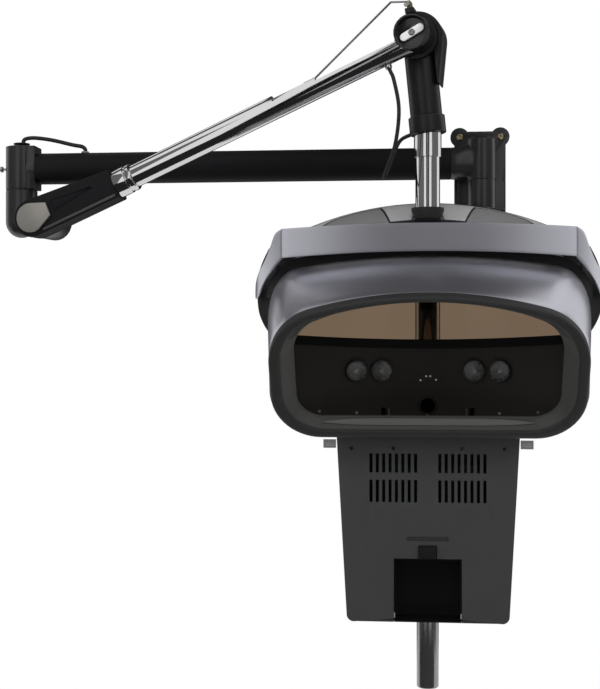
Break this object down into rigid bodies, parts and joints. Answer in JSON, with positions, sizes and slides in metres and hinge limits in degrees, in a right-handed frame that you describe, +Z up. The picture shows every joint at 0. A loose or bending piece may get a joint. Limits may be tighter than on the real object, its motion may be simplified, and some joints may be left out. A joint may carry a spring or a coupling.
{
  "type": "hanging hair steamer",
  "caption": "Wall-hung salon hair steamer: bracket, swivel boom, balanced arm and plumb pole carrying a hood with a lamp-lit cavity, amber window and vented body.",
  "frame": {"origin": "centre of the wall plate's back face", "axes": "+Z up, +Y into the wall, +X to the right as seen by a person who faces the wall; the hood faces -Y"},
  "size_m": [0.9164, 0.4027, 0.9821],
  "materials": {
    "black_paint": "satin black paint",
    "black_gloss": "gloss black",
    "chrome": "polished chrome",
    "brushed_steel": "brushed",
    "brass_zinc": "yellow zinc plated",
    "silver_paint": "silver painted plastic",
    "pale_grey": "matt grey",
    "dark_grey": "matt dark grey",
    "liner_black": "matt black",
    "rubber": "matt",
    "amber": "tinted clear plastic",
    "lens": "clear lens",
    "board_green": "circuit board",
    "clear_tank": "translucent plastic"
  },
  "bodies": {
    "wall_bracket": {"wall_plate": "black_paint", "bracket_block": "black_paint", "swivel_pin": "brushed_steel", "wall_screw_1": "brass_zinc", "wall_screw_2": "brass_zinc", "wall_screw_3": "brass_zinc", "wall_screw_4": "brass_zinc"},
    "boom": {"boom_hub": "black_paint", "boom_tube": "black_paint", "elbow_post": "black_paint", "elbow_top_cap": "black_gloss", "elbow_lock_screw": "brushed_steel", "elbow_cable": "rubber", "boom_grommet": "brushed_steel"},
    "elbow": {"elbow_hub": "black_paint", "elbow_pin": "brushed_steel", "elbow_washer": "rubber", "arm_pivot_pin": "brushed_steel"},
    "spring_arm": {"arm_casing": "black_paint", "pivot_cap": "brushed_steel", "arm_collar": "chrome", "arm_tube": "chrome", "balance_spring": "brushed_steel", "arm_end_ring": "black_gloss", "cable_gland": "chrome"},
    "strap": {"strap_slider": "brushed_steel", "tension_strap": "brushed_steel"},
    "knuckle": {"knuckle_housing": "black_paint", "knuckle_cover": "black_gloss", "knuckle_pin": "brushed_steel", "level_lever": "chrome", "strap_lug": "black_paint", "stem_tube": "black_paint", "stem_collar": "black_paint", "pole_sleeve": "chrome", "service_cable": "rubber"},
    "unit": {"pole": "chrome", "pole_tip": "dark_grey", "pole_boot": "rubber", "top_cover": "pale_grey", "outer_band": "silver_paint", "front_hood": "silver_paint", "mouth_ring": "dark_grey", "cavity_liner": "liner_black", "window_gasket": "rubber", "amber_window": "amber", "hood_rear_cover": "dark_grey", "lamp_1": "lens", "lamp_2": "lens", "lamp_3": "lens", "lamp_4": "lens", "mist_outlet": "liner_black", "body_rear_shell": "dark_grey", "body_front_panel": "dark_grey", "bay_liner": "liner_black", "pole_clamp": "brushed_steel", "water_tank": "clear_tank", "steam_generator": "brushed_steel", "control_board": "board_green"},
    "latch": {"latch_tab": "liner_black"}
  },
  "joints": [
    {"name": "wall_swivel", "type": "hinge", "parent": "wall_bracket", "child": "boom", "pos_m": [0, -0.065, 0.009], "axis": [0, 0, 1], "range_deg": [0, 90]},
    {"name": "elbow_swivel", "type": "hinge", "parent": "boom", "child": "elbow", "pos_m": [-0.718, -0.065, -0.0746], "axis": [0, 0, 1], "range_deg": [-150, 0]},
    {"name": "arm_lift", "type": "hinge", "parent": "elbow", "child": "spring_arm", "pos_m": [-0.67836, -0.11751, -0.0746], "axis": [-0.1702, -0.9854, 0], "range_deg": [-42, 0]},
    {"name": "strap_slide", "type": "slide", "parent": "spring_arm", "child": "strap", "axis": [0.908, -0.1568, 0.3885], "range_m": [-0.028, 0.001], "deforming": ["balance_spring"]},
    {"name": "knuckle_level", "type": "hinge", "parent": "spring_arm", "child": "knuckle", "pos_m": [-0.09411, -0.17276, 0.17209], "axis": [-0.1702, -0.9854, 0], "range_deg": [0, 43], "deforming": ["service_cable"]},
    {"name": "pole_swivel", "type": "hinge", "parent": "knuckle", "child": "unit", "pos_m": [-0.08137, -0.17497, 0], "axis": [0, 0, 1], "range_deg": [-90, 90]},
    {"name": "latch_press", "type": "slide", "parent": "unit", "child": "latch", "axis": [0, 1, 0], "range_m": [0, 0.002], "stiffness_N_per_m": 800, "springref_m": -0.0005}
  ],
  "couplings": [
    {"joint": "knuckle_level", "follows": "arm_lift", "ratio": -1},
    {"joint": "strap_slide", "follows": "arm_lift", "m_per_rad": 0.0355}
  ]
}
